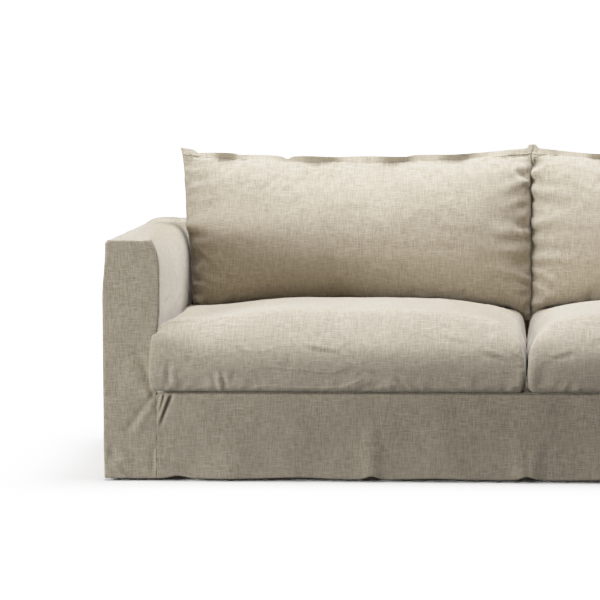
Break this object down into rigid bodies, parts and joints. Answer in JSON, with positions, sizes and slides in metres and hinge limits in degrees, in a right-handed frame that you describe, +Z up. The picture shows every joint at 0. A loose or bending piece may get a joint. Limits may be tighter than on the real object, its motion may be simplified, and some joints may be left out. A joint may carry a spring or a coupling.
{
  "type": "sofa slipcover with cushion covers",
  "caption": "Loose floor-length linen slipcover of a three-seat sofa, hollow inside, with plump filled seat and back cushions.",
  "frame": {"origin": "on the floor, under the centre of the cover's box", "axes": "+X along the seat's width, to the right as seen from the front, +Y from the front to the back, +Z up"},
  "size_m": [2.274, 1.0006, 0.8682],
  "materials": {
    "linen_cover": "slubby natural linen, matt, prewashed and softly creased",
    "linen_cushion": "slubby natural linen, matt, prewashed and softly creased"
  },
  "bodies": {
    "root": {"arm_front_left": "linen_cover", "arm_front_right": "linen_cover", "arm_outer_left": "linen_cover", "arm_outer_right": "linen_cover", "arm_inner_left": "linen_cover", "arm_inner_right": "linen_cover", "front_apron": "linen_cover", "deck": "linen_cover", "back_inside": "linen_cover", "back_outside": "linen_cover", "seat_cushion_left": "linen_cushion", "seat_cushion_right": "linen_cushion", "back_cushion_left": "linen_cushion", "back_cushion_right": "linen_cushion"}
  },
  "joints": []
}
